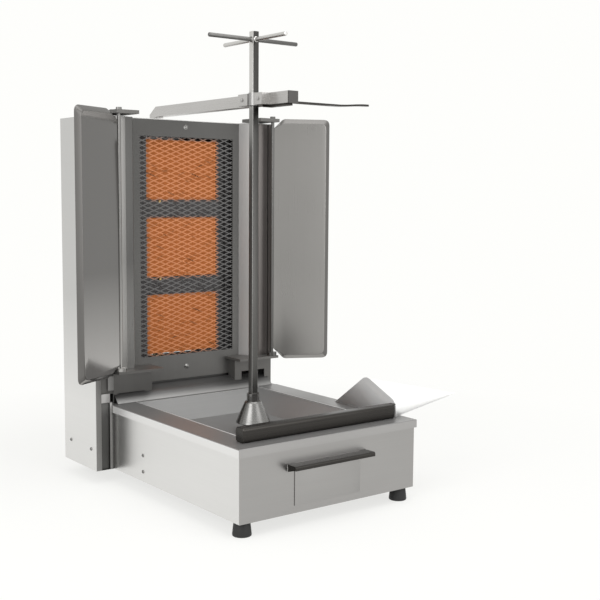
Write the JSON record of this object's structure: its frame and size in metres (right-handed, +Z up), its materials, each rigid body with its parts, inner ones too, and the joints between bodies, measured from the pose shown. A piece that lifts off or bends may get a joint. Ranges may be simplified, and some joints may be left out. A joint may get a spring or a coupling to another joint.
{
  "type": "gas doner kebab grill",
  "caption": "Upright gas doner grill: steel base with fat pan and drawer, ceramic burners behind an expanded-metal guard, swing wings, top arm and a turning square skewer",
  "frame": {"origin": "middle of the whole outline in X and Y, on the floor under the feet", "axes": "+Z up, front (drawer, pan and skewer) toward -Y, burner tower at +Y, gas taps and switch toward +X"},
  "size_m": [0.7308, 0.7848, 0.999],
  "materials": {
    "steel_panel": "fine brushed",
    "steel_polished": "polished",
    "orange_ceramic": "matt",
    "black_rubber": "matt",
    "black_plastic": "satin",
    "brass": "satin",
    "cast_aluminium": "as cast"
  },
  "bodies": {
    "base": {"arm_post": "steel_panel", "base_bottom": "steel_panel", "base_front": "steel_panel", "base_side_left": "steel_panel", "base_side_right": "steel_panel", "bearing_boss": "steel_polished", "burner_boxes": "steel_panel", "burner_frame": "steel_panel", "burner_mesh": "steel_panel", "burner_supports": "steel_panel", "cable_gland": "black_plastic", "ceramic_plaques": "orange_ceramic", "column_left": "steel_panel", "column_right": "steel_panel", "deck": "steel_panel", "drawer_runners": "steel_panel", "drive_motor": "cast_aluminium", "duct_closures": "steel_panel", "duct_left": "steel_panel", "fat_pan": "steel_panel", "front_rail": "steel_polished", "gas_inlet": "brass", "gas_manifold": "brass", "gas_taps": "brass", "gearbox": "cast_aluminium", "motor_bracket": "steel_panel", "panel_screws": "steel_polished", "post_brackets": "steel_panel", "rear_cover": "steel_panel", "rubber_feet": "black_rubber", "switch_housing": "black_plastic", "tower_side_right": "steel_panel", "tower_top": "steel_panel", "wing_lugs": "steel_panel"},
    "spit_drive": {"drive_shaft": "steel_polished", "spit_bell": "steel_polished", "spit_socket": "steel_polished"},
    "skewer": {"skewer_tube": "steel_polished", "cross_handle": "steel_polished", "skewer_collar": "steel_polished"},
    "drawer": {"drawer_front": "steel_panel", "drawer_pull": "steel_polished", "drawer_tray": "steel_panel"},
    "wing_left": {"wing_left": "steel_panel", "wing_pin_left": "steel_polished"},
    "wing_right": {"wing_right": "steel_panel", "wing_pin_right": "steel_polished"},
    "arm": {"arm_tube": "steel_panel", "arm_leg": "steel_panel", "arm_fork": "steel_panel", "arm_cap": "black_plastic", "arm_pull": "steel_polished"},
    "rocker": {"switch_rocker": "black_plastic"},
    "scoop": {"meat_scoop": "steel_panel"},
    "stem_1": {"tap_stem_1": "steel_polished"},
    "knob_1": {"gas_knob_1": "black_plastic"},
    "stem_2": {"tap_stem_2": "steel_polished"},
    "knob_2": {"gas_knob_2": "black_plastic"},
    "stem_3": {"tap_stem_3": "steel_polished"},
    "knob_3": {"gas_knob_3": "black_plastic"}
  },
  "joints": [
    {"name": "spit_turn", "type": "hinge", "parent": "base", "child": "spit_drive", "pos_m": [-0.0236, -0.0856, 0.15], "axis": [0, 0, 1], "continuous": true},
    {"name": "skewer_lift", "type": "slide", "parent": "spit_drive", "child": "skewer", "axis": [0, 0, 1], "range_m": [0, 0.08]},
    {"name": "drawer_slide", "type": "slide", "parent": "base", "child": "drawer", "axis": [0, -1, 0], "range_m": [0, 0.15]},
    {"name": "wing_left_swing", "type": "hinge", "parent": "base", "child": "wing_left", "pos_m": [-0.2326, 0.1334, 0.5], "axis": [0, 0, 1], "range_deg": [-12, 75]},
    {"name": "wing_right_swing", "type": "hinge", "parent": "base", "child": "wing_right", "pos_m": [0.1854, 0.1334, 0.5], "axis": [0, 0, 1], "range_deg": [-75, 12]},
    {"name": "arm_swing", "type": "hinge", "parent": "base", "child": "arm", "pos_m": [0.0019, 0.3799, 0.8], "axis": [0, 0, 1], "range_deg": [0, 90]},
    {"name": "rocker_tip", "type": "hinge", "parent": "base", "child": "rocker", "pos_m": [0.1994, 0.0794, 0.11], "axis": [0, -1, 0], "range_deg": [0, 14]},
    {"name": "scoop_lift", "type": "slide", "parent": "base", "child": "scoop", "axis": [0, 0, 1], "range_m": [0, 0.1]},
    {"name": "tap_turn_1", "type": "hinge", "parent": "base", "child": "stem_1", "pos_m": [0.2014, 0.2444, 0.3425], "axis": [1, 0, 0], "range_deg": [0, 180]},
    {"name": "knob_push_1", "type": "slide", "parent": "stem_1", "child": "knob_1", "axis": [-1, 0, 0], "range_m": [0, 0.003], "stiffness_N_per_m": 2000, "springref_m": -0.002},
    {"name": "tap_turn_2", "type": "hinge", "parent": "base", "child": "stem_2", "pos_m": [0.2014, 0.2444, 0.5255], "axis": [1, 0, 0], "range_deg": [0, 180]},
    {"name": "knob_push_2", "type": "slide", "parent": "stem_2", "child": "knob_2", "axis": [-1, 0, 0], "range_m": [0, 0.003], "stiffness_N_per_m": 2000, "springref_m": -0.002},
    {"name": "tap_turn_3", "type": "hinge", "parent": "base", "child": "stem_3", "pos_m": [0.2014, 0.2444, 0.7085], "axis": [1, 0, 0], "range_deg": [0, 180]},
    {"name": "knob_push_3", "type": "slide", "parent": "stem_3", "child": "knob_3", "axis": [-1, 0, 0], "range_m": [0, 0.003], "stiffness_N_per_m": 2000, "springref_m": -0.002}
  ]
}
